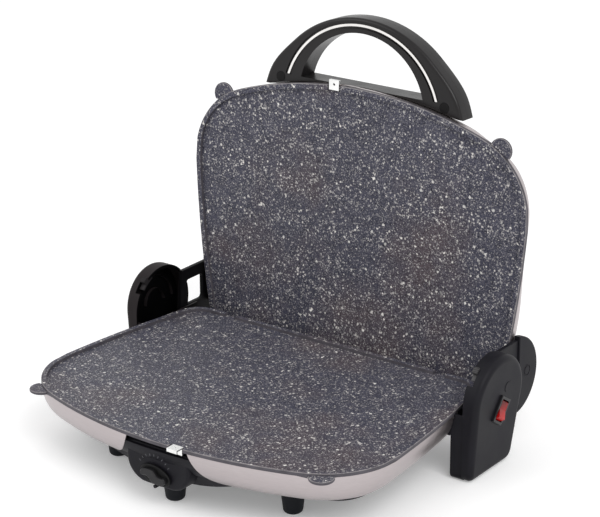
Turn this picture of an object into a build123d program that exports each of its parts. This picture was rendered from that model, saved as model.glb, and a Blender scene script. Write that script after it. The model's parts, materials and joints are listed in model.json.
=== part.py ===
from build123d import *
from math import acos, atan2, cos, degrees, hypot, radians, sin, tan
import os

# A two-plate sandwich maker, lid open, as it stands on a table. Millimetres.
# X runs to the right, Y to the back and Z up. While it is drawn, the lower
# plate's back edge lies at y = 0 and the table at ground; the whole is centred
# on the table at the end. The lid is drawn closed, over the base, and then
# opened about its hinge.

overrun = 2.0
seat = 0.1
fit = 0.3
ground = 3.0

# Plates: one casting, used below and, turned over, above
plate_depth = 228.0
plate_back_half = 141.0
plate_spread = 20.0
plate_corner_setback = 38.5
plate_side_bow = 3.5
plate_back_corner = 20.0
plate_front_corner = 42.0
least_corner = 6.0
corner_shift_share = 0.65
base_height = 39.5
rim_width = 4.5
rim_depth = 2.5
rim_rounding = 0.8
flange_height = 5.2
core_inset = 8.0
core_height = 2.5
ear_radius = 9.5
ear_inset = 28.2
ear_setback = 22.7
ear_drop = 1.6
ear_height = 2.6
drain_inset = 38.0
drain_width = 11.0
plate_gap = 0.4

# Plate clips of sheet steel, one on each plate's front edge
clip_x = 21.0
clip_width = 9.4
clip_sheet = 0.9
clip_reach = 3.6
clip_hook = 1.6
clip_lip = 2.6
clip_tail = 10.0
clip_hole = 1.1
clip_side_gap = 1.6

# Heating elements and their reflectors
heater_radius = 3.25
heater_inset = 34.0
heater_bend = 26.0
heater_gap = 26.0
heater_pin_radius = 1.5
heater_pin = 9.0
reflector_inset = 16.5
reflector_sheet = 0.8
reflector_lip = 3.5

# Steel shells
sheet = 1.0
skirt_depth = 22.0
skirt_inset = 13.0
skirt_turn = 60.0
dome_depth = 27.0
dome_inset = 34.0
dome_turn = 80.0
profile_steps = 4

# Base pan, its vents and its feet
pan_wall = 2.5
pan_inset = 15.5
pan_floor_inset = 42.0
pan_shoulder_rise = 12.0
vent_length = 46.0
vent_width = 3.2
vent_pitch = 9.0
vent_count = 8
foot_height = 16.9
foot_top = 9.2
foot_bottom = 7.2
foot_rounding = 3.0
foot_inset = 77.0
foot_setback = 58.0
foot_centre_setback = 24.5
vent_setback = 115.0
peg_radius = 3.5
peg_length = 7.0
boss_wall = 2.2

# Control housing, thermostat, lamp and knob
fascia_half = 29.5
fascia_corner = 18.0
fascia_height = 32.3
fascia_drop = 6.9
fascia_setback = 4.5
fascia_rounding = 2.6
fascia_wall = 2.4
housing_back_setback = 36.0
housing_drop = 0.6
flare_top_half = 31.0
flare_mid_half = 39.5
flare_mid_drop = 13.2
flare_low_half = 59.0
flare_low_drop = 22.6
flare_belly_inset = 21.0
stop_peg_radius = 1.4
stop_peg_length = 1.2
stop_peg_x = 1.9
knob_drop = 28.9
knob_half_width = 14.0
knob_half_height = 7.6
knob_turn = 10.5
knob_disc_radius = 6.6
knob_disc = 1.4
knob_plate = 1.5
knob_ridge = 3.4
knob_ridge_half_width = 11.8
knob_ridge_half_height = 4.9
knob_rounding = 0.9
knob_waist_radius = 7.0
shaft_radius = 3.0
thermostat_width = 24.0
thermostat_height = 13.0
thermostat_depth = 11.0
lamp_x = 13.9
lamp_drop = 19.4
lamp_radius = 1.6

# Hinge towers, one each side
tower_offset = 7.5
cover_width = 11.8
cover_lean = 4.0
head_y = 24.0
head_rise = 3.5
head_radius = 34.0
column_gap = 0.6
column_back_y = 1.5
column_front_corner = 6.0
column_back_corner = 9.0
cover_wall = 2.6
cover_rounding = 4.8
notch_start = 122.0
notch_end = 148.0
notch_depth = 5.0
housing_head_drop = 2.5
housing_wall = 1.6
housing_shelf_drop = 14.0
tower_front_wall = 2.5
neck_front = 59.0
neck_back = 9.0
neck_height = 12.1
neck_drop = 2.7
neck_length = 22.5

# Hinge
hinge_y = 1.9
hinge_drop = 20.5
open_angle = 92.6
hinge_pin_radius = 3.5
hinge_pin_head = 5.5
hinge_head_length = 2.0
hinge_play = 0.05
cup_radius = 6.0

# Release catches in the tower notches
catch_half_angle = 4.0
catch_centre = 126.5
catch_out = 1.4
catch_rib = 0.5
catch_rib_pitch = 1.6
catch_shoe = 1.6
catch_shoe_angle = 9.0
guide_rib_radius = 22.0
guide_rib_width = 1.4
guide_rib_height = 3.0

# Mains switch on the right tower
switch_y = 23.5
switch_drop = 6.3
switch_tilt = 33.0
bezel_length = 21.0
bezel_width = 15.0
bezel_proud = 2.0
bezel_wall = 2.0
switch_depth = 10.5
rocker_lean = 9.0
rocker_swell = 1.6
rocker_rise = 4.2
rocker_crown = 1.4
plug_radius = 4.3
plug_proud = 0.3
plug_y = 14.5
plug_rise = 10.0
gland_radius = 4.2
gland_bore = 3.2
gland_drop = 7.4
gland_flange = 1.6

# Lid arms
arm_gap = 2.9
arm_width = 4.8
arm_seam_gap = 2.4
arm_cap = 1.5
arm_rise = 49.8
arm_front = 6.0
arm_plate = 3.2
arm_boss_radius = 10.0
arm_boss_gap = 0.4
lug_length = 11.5
lug_front = 50.0
lug_back = 17.0
lug_gap = 8.1
lug_height = 11.4
arm_window_front = 1.0
arm_window_back = 20.5
arm_window_rise = 18.0
arm_window_height = 22.0
arm_window_corner = 3.0
disc_radius = 32.3
disc_flat = 4.4
disc_cap_wall = 2.2
disc_fillet = 1.2
disc_plug_back = 16.9
disc_plug_radius = 5.0

# Handle
handle_face = 7.0
handle_thickness = 21.0
handle_outer_half = 94.0
handle_outer_top = 61.3
handle_foot_depth = 12.0
handle_inner_half = 58.0
handle_inner_top = 44.9
handle_bar_depth = 0.6
handle_rounding = 3.0
strip_half = 70.4
strip_top = 51.4
strip_width = 3.2
strip_thickness = 1.2
handle_plug_x = 78.0
handle_plug_y = 3.5

# Wiring, fuse and fasteners
terminal_width = 26.0
terminal_depth = 14.0
terminal_height = 10.0
fuse_radius = 2.2
fuse_length = 14.0
wire_radius = 1.3
screw_radius = 1.6
screw_head_radius = 3.1
screw_head = 2.0
screw_length = 9.0
screw_boss_radius = 4.2
screw_rise = 12.5
screw_front_y = 47.0
screw_back_y = 13.0
seat_ring_outer = 1.3
seat_ring_inner = 7.7
seat_ring_height = 2.0
seat_ring_gap_half = 32.0
terminal_setback = 108.0
fuse_y = 60.0
wire_rise = 5.4
wire_bend = 4.0
wire_side = 6.0
wire_rise_setback = 68.0
wire_thermostat_setback = 46.0
wire_drop = 19.6
wire_turn_x = 40.0
handle_screw_x = 75.0
handle_screw_y = 17.2
handle_screw_rise = 17.5
handle_screw_length = 17.0

# Places worked out from the sizes above
pan_floor_height = ground + foot_height + seat
pan_shoulder_height = pan_floor_height + pan_shoulder_rise
rim_height = pan_floor_height + base_height
plate_front_half = plate_back_half + plate_spread
plate_corner_depth = plate_depth - plate_corner_setback
ear_x = plate_front_half - ear_inset
ear_y = plate_depth - ear_setback
drain_x = plate_back_half - drain_inset
foot_x = plate_front_half - foot_inset
foot_front_y = plate_depth - foot_setback
foot_centre_y = plate_depth - foot_centre_setback
flange_bottom = rim_height - flange_height
core_bottom = flange_bottom - core_height
heater_height = core_bottom - seat - heater_radius
reflector_top = heater_height - heater_radius - seat
pan_top = reflector_top - reflector_sheet
shell_top = flange_bottom - seat
fascia_front = plate_depth - fascia_setback
fascia_top_height = rim_height - fascia_drop
fascia_bottom = fascia_top_height - fascia_height
housing_back = plate_depth - housing_back_setback
housing_top_height = core_bottom - housing_drop
flare_mid_height = shell_top - flare_mid_drop
flare_low_height = shell_top - flare_low_drop
knob_height = rim_height - knob_drop
lamp_height = rim_height - lamp_drop
tower_inner = plate_back_half + tower_offset
arm_inner = tower_inner + arm_gap
arm_outer = arm_inner + arm_width
tower_seam = arm_outer + arm_seam_gap
tower_outer = tower_seam + cover_width
head_height = rim_height + head_rise
column_bottom = ground + column_gap
housing_head = rim_height - housing_head_drop
neck_end = tower_inner - neck_length
neck_top = flange_bottom - neck_drop
neck_bottom = neck_top - neck_height
hinge_height = rim_height - hinge_drop
housing_shelf = hinge_height - housing_shelf_drop
gland_height = housing_shelf - gland_drop
screw_low_height = ground + screw_rise
switch_height = rim_height - switch_drop
plug_height = rim_height + plug_rise
lug_low = rim_height + lug_gap
lug_end = tower_inner - lug_length
arm_top = hinge_height + arm_rise
arm_window_bottom = hinge_height + arm_window_rise
arm_window_top = arm_window_bottom + arm_window_height
terminal_y = plate_depth - terminal_setback
wire_height = pan_floor_height + pan_wall + wire_rise
wire_top = rim_height - flange_height - wire_drop
handle_screw_height = rim_height + handle_screw_rise


def plate_face(inset=0.0):
    """The plates' outline, drawn in by an inset."""
    back_half = plate_back_half - inset
    front_half = plate_front_half - inset
    corner_y = corner_shift_share * inset - plate_corner_depth
    middle = ((back_half + front_half) / 2 + plate_side_bow, (corner_y - inset) / 2)
    back = Line((-back_half, -inset), (back_half, -inset))
    right = ThreePointArc((back_half, -inset), middle, (front_half, corner_y))
    front = ThreePointArc((front_half, corner_y), (0, inset - plate_depth), (-front_half, corner_y))
    left = ThreePointArc((-front_half, corner_y), (-middle[0], middle[1]), (-back_half, -inset))
    face = make_face([back, right, front, left])
    rear = face.vertices().sort_by(Axis.Y)[-2:]
    face = fillet(rear, max(plate_back_corner - inset, least_corner))
    corners = [v for v in face.vertices() if v.Y < corner_y + overrun / 2 and abs(v.X) > front_half / 2]
    return fillet(corners, max(plate_front_corner - inset, least_corner))


def plate_slab(inset, bottom, top):
    """A flat slab of the plates' outline between two heights."""
    return Pos(0, 0, bottom) * extrude(plate_face(inset), top - bottom)


def flipped(shape):
    """Turns a base piece over, to its place on the closed lid."""
    return Pos(0, 0, rim_height + plate_gap) * Rot(0, 180, 0) * Pos(0, 0, -rim_height) * shape


def opened(shape):
    """Swings a piece of the closed lid open, to its place at rest."""
    back = Pos(0, -hinge_y, hinge_height)
    return back * Rot(-open_angle, 0, 0) * Pos(0, hinge_y, -hinge_height) * shape


def other_side(shape):
    """The mirror image of a right-hand piece."""
    return mirror(shape, about=Plane.YZ)


def along_x(sketch, start, end):
    """Draws a side-view sketch (y, z) out from one x to another."""
    return Pos(start, 0, 0) * extrude(Plane.YZ * sketch, end - start)


def along_y(sketch, start, end):
    """Draws a front-view sketch (x, z) out from one y to another, further back."""
    return Pos(0, end, 0) * extrude(Plane.XZ * sketch, end - start)


def screw(length=screw_length, play=0.0):
    """A screw whose head sits on z = 0 and whose shank points down, or its hole with some play."""
    head = Pos(0, 0, screw_head / 2) * Cylinder(screw_head_radius + play, screw_head)
    shank = Pos(0, 0, -length / 2) * Cylinder(screw_radius + play, length + play)
    return head + shank


def plate():
    """The lower cooking plate: rimmed casting with two lift-off ears, drain gaps and a clip notch."""
    flange = plate_slab(0, flange_bottom, rim_height)
    flange = fillet(flange.faces().sort_by(Axis.Z)[-1].edges(), rim_rounding)
    ear_top = rim_height - ear_drop
    for x in (-ear_x, ear_x):
        ear = Pos(x, -ear_y, ear_top - ear_height / 2) * Cylinder(ear_radius, ear_height)
        flange += fillet(ear.edges(), rim_rounding)
    body = flange + plate_slab(core_inset, core_bottom, flange_bottom)
    body -= plate_slab(rim_width, rim_height - rim_depth, rim_height + overrun)
    gap = Box(drain_width, 2 * rim_width + overrun, 2 * rim_depth)
    for x in (-drain_x, drain_x):
        body -= Pos(x, 0, rim_height) * gap
    notch_width = clip_width + 2 * clip_side_gap
    notch = Box(notch_width, 2 * rim_width + overrun, 2 * flange_height + overrun)
    body -= Pos(clip_x, -plate_depth, rim_height) * notch
    relief = Box(notch_width, 2 * (core_inset + clip_tail), core_height)
    return body - Pos(clip_x, -plate_depth, core_bottom + core_height / 2) * relief


def clip():
    """Sheet-steel clip: a pierced finger tab, a leg through the plate's notch and a tail below it."""
    front = -plate_depth - clip_reach
    leg_y = rim_width - clip_hook - plate_depth
    tab_top = rim_height - seat
    tab = Box(clip_width, leg_y + clip_hook - front, clip_sheet)
    tab = Pos(0, (front + leg_y + clip_hook) / 2, tab_top - clip_sheet / 2) * tab
    tab -= Pos(0, front + clip_reach, tab_top) * Cylinder(clip_hole, 2 * clip_sheet + overrun)
    lip = Pos(0, front + clip_sheet / 2, tab_top - clip_lip / 2) * Box(clip_width, clip_sheet, clip_lip)
    tail_top = flange_bottom - seat
    tail_bottom = tail_top - clip_sheet
    leg = Box(clip_width, clip_sheet, tab_top - tail_bottom)
    leg = Pos(0, leg_y, (tab_top + tail_bottom) / 2) * leg
    tail = Pos(0, leg_y + clip_tail / 2, tail_top - clip_sheet / 2) * Box(clip_width, clip_tail, clip_sheet)
    return Pos(clip_x, 0, 0) * (tab + lip + leg + tail)


def heater():
    """Tubular element: one loop just inside the plate's edge, its two ends at the back."""
    back_x = plate_back_half - heater_inset
    front_x = plate_front_half - heater_inset
    back_y = -heater_inset
    front_y = heater_inset - plate_corner_depth
    half = heater_gap / 2
    points = [(half, back_y), (back_x, back_y), (front_x, front_y)]
    points += [(-x, y) for x, y in reversed(points)]
    path = FilletPolyline(*points, radius=heater_bend)
    tube = sweep(Plane(path @ 0, z_dir=path % 0) * Circle(heater_radius), path=path)
    for x in (-half, half):
        pin = Pos(x, back_y, 0) * Rot(0, 90, 0) * Cylinder(heater_pin_radius, 2 * heater_pin)
        tube += pin
    return Pos(0, 0, heater_height) * tube


def reflector():
    """Bright steel tray under the heating element, with a turned-up lip and a gap for the controls."""
    tray = plate_slab(reflector_inset, pan_top, reflector_top + reflector_lip)
    tray -= plate_slab(reflector_inset + reflector_sheet, reflector_top, core_bottom + overrun)
    return tray - along_y(flare_face(fit), -plate_depth, -housing_back + fit)


def bowed_solid(depth, inset, turn, shrink):
    """A skirt that starts upright and curls in below, as one solid; shrink draws it in by a wall."""
    faces = []
    for step in range(profile_steps):
        angle = radians(turn * step / (profile_steps - 1))
        drop = (depth - shrink) * sin(angle) / sin(radians(turn))
        inward = inset * (1 - cos(angle)) / (1 - cos(radians(turn))) + shrink
        faces.append(Pos(0, 0, shell_top - drop) * plate_face(inward))
    return loft(faces)


def flare_face(gap=0.0):
    """Front view of the opening in the lower shell, which spreads like a trumpet towards its foot."""
    top = shell_top + overrun
    low = flare_low_height - skirt_depth
    sides = []
    for sign in (1, -1):
        start = (sign * (flare_top_half + gap), shell_top)
        middle = (sign * (flare_mid_half + gap), flare_mid_height)
        end = (sign * (flare_low_half + gap), flare_low_height)
        sides.append((Line((start[0], top), start), ThreePointArc(start, middle, end), end))
    right, left = sides
    close_low = Polyline(right[2], (right[2][0], low), (left[2][0], low), left[2])
    close_top = Line((right[0] @ 0), (left[0] @ 0))
    return make_face([right[0], right[1], close_low, left[1], left[0], close_top])


def neck_gap():
    """The space that a tower's neck needs through the shell's side."""
    size = (plate_front_half, neck_front - neck_back + 2 * fit, neck_height + 2 * fit)
    place = Pos(neck_end + size[0] / 2, -(neck_front + neck_back) / 2, neck_top - neck_height / 2)
    return place * Box(*size) + other_side(place * Box(*size))


def lower_shell():
    """Brushed steel skirt round the base, open at the front for the controls and at each tower."""
    skirt = bowed_solid(skirt_depth, skirt_inset, skirt_turn, 0)
    hollow = bowed_solid(skirt_depth, skirt_inset, skirt_turn, sheet)
    foot = shell_top - skirt_depth
    hollow += plate_slab(skirt_inset + sheet, foot - overrun, foot + sheet + overrun)
    hollow += plate_slab(sheet, shell_top - overrun, shell_top + overrun)
    skirt -= hollow
    skirt -= along_y(flare_face(), -plate_depth - overrun, -housing_back)
    return skirt - neck_gap()


def base_pan():
    """Black moulded pan: sloped floor with vents, foot bosses and an upright wall under the reflector."""
    low, high = pan_floor_height, pan_shoulder_height
    outer = loft([Pos(0, 0, low) * plate_face(pan_floor_inset), Pos(0, 0, high) * plate_face(pan_inset)])
    outer += plate_slab(pan_inset, high, pan_top)
    inner_faces = [Pos(0, 0, low + pan_wall) * plate_face(pan_floor_inset + pan_wall)]
    inner_faces.append(Pos(0, 0, high + pan_wall) * plate_face(pan_inset + pan_wall))
    pan = outer - loft(inner_faces) - plate_slab(pan_inset + pan_wall, high + pan_wall, pan_top + overrun)
    boss = Cylinder(peg_radius + boss_wall, peg_length + pan_wall)
    bore = Cylinder(peg_radius + seat, 2 * peg_length)
    for x in (-foot_x, foot_x):
        pan += Pos(x, -foot_front_y, low + (peg_length + pan_wall) / 2) * boss
        pan -= Pos(x, -foot_front_y, low) * bore
    slot = SlotOverall(vent_length, vent_width)
    vents = Sketch() + GridLocations(vent_length + vent_pitch, vent_pitch, 2, vent_count) * slot
    pan -= Pos(0, vent_setback - plate_depth, low - overrun) * extrude(vents, pan_wall + 2 * overrun)
    pan -= along_y(flare_face(fit), -plate_depth, -housing_back + fit)
    return pan


def foot(top):
    """Tapered foot with a rounded tread and a peg that plugs into the moulding above."""
    height = top - ground
    cone = Pos(0, 0, ground + height / 2) * Cone(foot_bottom, foot_top, height)
    cone = fillet(cone.edges().sort_by(Axis.Z)[0], foot_rounding)
    return cone + Pos(0, 0, top + peg_length / 2 - seat) * Cylinder(peg_radius, peg_length - seat)


def fascia_face(top):
    """Front view of the fascia: a straight top, upright sides and a round chin."""
    height = top - fascia_bottom
    face = Pos(0, fascia_bottom + height / 2) * Rectangle(2 * fascia_half, height)
    return fillet(face.vertices().sort_by(Axis.Y)[:2], fascia_corner)


def control_housing():
    """Control housing: D-shaped fascia on a body that spreads behind it to meet the steel."""
    fascia_back = plate_depth - core_inset + fit
    fascia = along_y(fascia_face(fascia_top_height), -fascia_front, -fascia_back)
    fascia = fillet(fascia.faces().sort_by(Axis.Y)[0].edges(), fascia_rounding)
    body = along_y(fascia_face(housing_top_height), -fascia_back, -housing_back)
    belly = fascia_bottom
    envelope = bowed_solid(skirt_depth, skirt_inset, skirt_turn, sheet)
    shoulder = shell_top - skirt_depth + sheet
    hem = [Pos(0, 0, shoulder) * plate_face(skirt_inset + sheet)]
    hem.append(Pos(0, 0, belly) * plate_face(flare_belly_inset))
    envelope += loft(hem)
    flare = along_y(flare_face(-fit), -plate_depth, -housing_back) & envelope
    low_end = (flare_low_half, flare_low_height)
    bottom = ThreePointArc((-low_end[0], low_end[1]), (0, belly), low_end)
    ends = [(flare_low_half, housing_top_height), (-flare_low_half, housing_top_height)]
    edge = Polyline(bottom @ 1, *ends, bottom @ 0)
    flare &= along_y(make_face([bottom, edge]), -plate_depth, -housing_back)
    housing = fascia + body + flare
    room_x = thermostat_width + 2 * fascia_wall
    room_top = housing_top_height - fascia_wall
    room_low = knob_height - thermostat_height / 2 + fit
    room = Box(room_x, fascia_front, room_top - room_low)
    room_front = -fascia_front + fascia_wall + knob_disc
    housing -= Pos(0, room_front + fascia_front / 2, (room_top + room_low) / 2) * room
    face_turn = Rot(90, 0, 0)
    shaft_hole = Cylinder(shaft_radius + fit, fascia_front / 2)
    housing -= Pos(0, -fascia_front, knob_height) * face_turn * shaft_hole
    lamp_hole = Cylinder(lamp_radius + seat, fascia_front / 2)
    housing -= Pos(-lamp_x, -fascia_front, lamp_height) * face_turn * lamp_hole
    peg = Pos(-stop_peg_x, belly) * Circle(stop_peg_radius)
    housing += along_y(peg, -fascia_front - stop_peg_length, -fascia_front + fascia_wall)
    return housing - Pos(0, -foot_centre_y, belly) * Cylinder(peg_radius + seat, 2 * peg_length)


def knob():
    """Thermostat knob: a low oval with an S-shaped ridge across it, on a disc, and its shaft."""
    ridge = Ellipse(knob_ridge_half_width, knob_ridge_half_height)
    bite_y = knob_ridge_half_height / 3 + knob_waist_radius
    bite_x = knob_ridge_half_width / 2
    ridge -= Pos(bite_x, bite_y) * Circle(knob_waist_radius)
    ridge -= Pos(-bite_x, -bite_y) * Circle(knob_waist_radius)
    turned = Pos(0, knob_height) * Rot(0, 0, -knob_turn)
    face_y = -fascia_front - seat
    disc = Pos(0, knob_height) * Circle(knob_disc_radius)
    body = along_y(disc, face_y - knob_disc, face_y)
    plate_y = face_y - knob_disc - knob_plate
    oval = along_y(turned * Ellipse(knob_half_width, knob_half_height), plate_y, face_y - knob_disc)
    body += fillet(oval.faces().sort_by(Axis.Y)[0].edges(), knob_rounding)
    grip = along_y(turned * ridge, plate_y - knob_ridge, plate_y)
    grip = fillet(grip.faces().sort_by(Axis.Y)[0].edges(), knob_rounding)
    shaft_end = -fascia_front + fascia_wall + knob_disc + thermostat_depth
    shaft = along_y(Pos(0, knob_height) * Circle(shaft_radius), face_y, shaft_end)
    return body + grip, shaft


def thermostat():
    """Thermostat body behind the fascia, bored for the knob's shaft."""
    front = -fascia_front + fascia_wall + knob_disc
    block = Box(thermostat_width, thermostat_depth, thermostat_height - 2 * fit)
    block = Pos(0, front + thermostat_depth / 2, knob_height + 2 * fit) * block
    bore = Rot(90, 0, 0) * Cylinder(shaft_radius + hinge_play, 3 * thermostat_depth)
    return block - Pos(0, front, knob_height) * bore


def lamp():
    """Small indicator lens in the fascia."""
    lens = Rot(90, 0, 0) * Cylinder(lamp_radius, fascia_wall + knob_disc)
    return Pos(-lamp_x, -fascia_front + (fascia_wall + knob_disc) / 2 - seat, lamp_height) * lens


def tower_back(inset=0.0, bottom=column_bottom):
    """Foot and top of the tower's raked back, which runs into the round head; and the head's radius."""
    radius = head_radius - inset
    foot = (column_back_y - inset, bottom + inset)
    away = hypot(foot[0] + head_y, foot[1] - head_height)
    rake = atan2(foot[1] - head_height, foot[0] + head_y) + acos(radius / away)
    return foot, (radius * cos(rake) - head_y, radius * sin(rake) + head_height), radius


def gland_place():
    """Where the cord's gland stands on the right housing's back, with its axis square to the face."""
    foot, top, radius = tower_back(0, ground)
    slope = (top[0] - foot[0]) / (top[1] - foot[1])
    y = foot[0] + slope * (gland_height - foot[1])
    middle = (tower_seam + tower_inner) / 2
    return Pos(middle, y, gland_height) * Rot(-90 - degrees(atan2(slope, 1)), 0, 0)


def leaned(shape):
    """Tips a shape with the towers' outer face, which leans out from the switch's height up."""
    back = Pos(tower_outer, 0, switch_height)
    return back * Rot(0, cover_lean, 0) * Pos(-tower_outer, 0, -switch_height) * shape


def leaned_block(face):
    """All of a tower that lies inside the leaning plane which meets a given x at the switch."""
    size = 4 * head_radius
    return leaned(Pos(face - size / 2, -head_y, switch_height) * Box(size, 2 * size, 2 * size))


def cover_floor(height):
    """The x of the cover's inner floor at a height."""
    return tower_outer - cover_wall + (height - switch_height) * tan(radians(cover_lean))


def tower_profile(inset=0.0, bottom=column_bottom):
    """Side view (y, z) of a tower: a round head on a column with an upright front and a raked back."""
    foot, back, radius = tower_back(inset, bottom)
    front = -head_y - radius
    top = ThreePointArc((front, head_height), (-head_y, head_height + radius), back)
    sides = Polyline(back, foot, (front, foot[1]), (front, head_height))
    face = make_face([top, sides])
    corner = [v for v in face.vertices() if v.Y < head_height / 2]
    back, front = max(corner, key=lambda v: v.X), min(corner, key=lambda v: v.X)
    face = fillet([back], max(column_back_corner - inset, cover_wall))
    corner = [v for v in face.vertices() if v.Y < head_height / 2]
    front = min(corner, key=lambda v: (round(v.X), v.Y))
    return fillet([front], max(column_front_corner - inset, seat))


def head_sector(inner, outer, start, end):
    """Side view of a band round the tower head's centre, between two radii and two angles."""
    far = 2 * outer
    points = [(far * cos(radians(a)), far * sin(radians(a))) for a in (start, (start + end) / 2, end)]
    wedge = make_face(Polyline((0, 0), *points, (0, 0)))
    band = (Circle(outer) - Circle(inner)) & wedge
    return Pos(-head_y, head_height) * band


def at_hinge(radius):
    """A disc in side view on the hinge line."""
    return Pos(-hinge_y, hinge_height) * Circle(radius)


def tower_screw_places():
    """Where the two low screws of each tower stand, in side view."""
    return [Pos(-y, screw_low_height) for y in (screw_front_y, screw_back_y)]


def switch_place():
    """Local axes of the mains switch: long way, short way, outwards."""
    tilt = radians(switch_tilt)
    origin = (tower_outer, -switch_y, switch_height)
    flat = Plane(origin=origin, x_dir=(0, sin(tilt), cos(tilt)), z_dir=(1, 0, 0)).location
    return leaned(flat)


def tower_cover():
    """Outer half of a tower: a hollow moulding with guide ribs, a pin cup, screw bosses and a rim notch."""
    far = tower_outer + cover_width
    cover = along_x(tower_profile(), tower_seam, far) & leaned_block(tower_outer)
    cover = fillet(cover.faces().sort_by(Axis.X)[-1].edges(), cover_rounding)
    hollow = along_x(tower_profile(cover_wall), tower_seam - overrun, far)
    cover -= hollow & leaned_block(cover_floor(switch_height))
    floor = cover_floor(hinge_height)
    cover += along_x(at_hinge(cup_radius), tower_seam + seat, floor + cover_wall / 2)
    cover -= along_x(at_hinge(hinge_pin_radius + seat), tower_seam - overrun, floor)
    floor = cover_floor(screw_low_height)
    for place in tower_screw_places():
        cover += along_x(place * Circle(screw_boss_radius), tower_seam + seat, floor + cover_wall / 3)
        cover -= along_x(place * Circle(screw_radius + seat), tower_seam - overrun, floor)
    floor = cover_floor(switch_height)
    for radius in (guide_rib_radius, guide_rib_radius / 2):
        rib = head_sector(radius, radius + guide_rib_width, 0, 180)
        cover += leaned(along_x(rib, floor - guide_rib_height, floor + seat))
    notch = head_sector(head_radius - 2 * cover_wall, head_radius + overrun, notch_start, notch_end)
    cover -= along_x(notch, tower_seam - overrun, tower_seam + notch_depth)
    cap = Pos(-plug_y, plug_height) * Circle(plug_radius + seat)
    return cover - leaned(along_x(cap, tower_outer - cover_wall / 2, tower_outer + overrun))


def right_tower_cover():
    """The right cover, cut for the mains switch."""
    length = bezel_length - bezel_wall
    width = bezel_width - bezel_wall
    hole = Box(length + 2 * seat, width + 2 * seat, 2 * switch_depth)
    return tower_cover() - switch_place() * hole


def tower_housing():
    """Inner half of a tower: slotted at the top and back, so that the lid's arm can swing in it."""
    wide = 4 * head_radius
    crop = Pos(0, housing_head + head_radius) * Rectangle(wide, 2 * head_radius)
    housing = along_x(tower_profile(0, ground) - crop, tower_inner, tower_seam - seat)
    inner = tower_inner + housing_wall
    front = tower_front_wall - head_y - head_radius
    slot = Box(tower_seam, 2 * head_radius, 2 * head_radius)
    slot = Pos(inner + tower_seam / 2, front + head_radius, housing_shelf + head_radius) * slot
    housing -= slot
    room_top = Pos(0, housing_shelf - cover_wall + head_radius)
    room = tower_profile(cover_wall, ground) - room_top * Rectangle(wide, 2 * head_radius)
    housing -= along_x(room, inner, tower_seam + overrun)
    for place in tower_screw_places():
        housing += along_x(place * Circle(screw_boss_radius), inner - seat, tower_seam - seat)
        housing -= along_x(place * Circle(screw_radius + seat), tower_inner - overrun, tower_seam + overrun)
        recess = place * Circle(screw_head_radius + seat)
        housing -= along_x(recess, tower_inner - overrun, tower_inner + screw_head)
    housing -= along_x(at_hinge(hinge_pin_radius + seat), tower_inner - overrun, inner + overrun)
    return housing - plate_slab(-fit, neck_top, housing_head + overrun)


def right_tower_housing():
    """The right housing, bored for the cord's gland."""
    return tower_housing() - gland_place() * Cylinder(gland_bore + seat, 2 * gland_radius)


def hinge_pin():
    """Headed pin from the housing, through the arm, into the cover's cup."""
    end = cover_floor(hinge_height) - fit
    pin = along_x(at_hinge(hinge_pin_radius), tower_inner - hinge_head_length, end)
    return pin + along_x(at_hinge(hinge_pin_head), tower_inner - hinge_head_length, tower_inner - seat)


def side_bracket():
    """Black block that carries a tower from the pan's wall, through the gap in the shell."""
    size = (tower_inner - seat - neck_end, neck_front - neck_back, neck_height)
    place = (neck_end + size[0] / 2, -(neck_front + neck_back) / 2, neck_bottom + size[2] / 2)
    block = Pos(*place) * Box(*size)
    return block - plate_slab(pan_inset - seat, pan_shoulder_height, neck_top + overrun)


def catch():
    """Ribbed thumb tab of the hinge release: it rides in the rim notch on a shoe inside the cover."""
    start, end = catch_centre - catch_half_angle, catch_centre + catch_half_angle
    inner = tower_seam + fit
    outer = tower_seam + notch_depth - fit
    under = head_radius - cover_wall - fit
    tab = along_x(head_sector(under - catch_shoe, head_radius + catch_out, start, end), inner, outer)
    shoe_start, shoe_end = start - catch_shoe_angle, end + catch_shoe_angle
    shoe = along_x(head_sector(under - catch_shoe, under, shoe_start, shoe_end), inner, outer)
    body = tab + shoe
    step = degrees(catch_rib_pitch / head_radius)
    for index in range(-2, 3):
        middle = catch_centre + index * step
        top = head_radius + catch_out
        groove = head_sector(top - catch_rib, top + overrun, middle - step / 5, middle + step / 5)
        body -= along_x(groove, inner - overrun, outer + overrun)
    return body


def switch_body():
    """Rocker switch bezel with its hollow body behind the cover."""
    flange = Box(bezel_length, bezel_width, bezel_proud)
    flange = Pos(0, 0, bezel_proud / 2 + seat) * flange
    flange = fillet(flange.faces().sort_by(Axis.Z)[-1].edges(), bezel_proud / 4)
    length, width = bezel_length - bezel_wall, bezel_width - bezel_wall
    body = flange + Pos(0, 0, -switch_depth / 2 + seat) * Box(length, width, switch_depth)
    window = Box(length - bezel_wall, width - bezel_wall, 2 * switch_depth)
    body -= Pos(0, 0, switch_depth + bezel_wall - switch_depth) * window
    pin = Rot(90, 0, 0) * Cylinder(rocker_swell + hinge_play, width - bezel_wall / 2)
    return switch_place() * (body - Pos(0, 0, -bezel_wall) * pin)


def rocker():
    """The rocker: dished top, round ends and two trunnions, leaning to its off side."""
    half = (bezel_length - 2 * bezel_wall) / 2 - fit
    wide = bezel_width - 2 * bezel_wall - 2 * fit
    ends = rocker_rise + rocker_crown
    dish = make_face(Polyline((0, rocker_rise), (half, ends), (half, -bezel_wall),
                              (-half, -bezel_wall), (-half, ends), (0, rocker_rise)))
    body = extrude(Plane.XZ * (dish & Circle(half)), wide / 2, both=True)
    trunnion = Rot(90, 0, 0) * Cylinder(rocker_swell, bezel_width - bezel_wall - bezel_wall / 2 - 2 * fit)
    body += trunnion
    return switch_place() * Pos(0, 0, -bezel_wall) * Rot(0, rocker_lean, 0) * body


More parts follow.
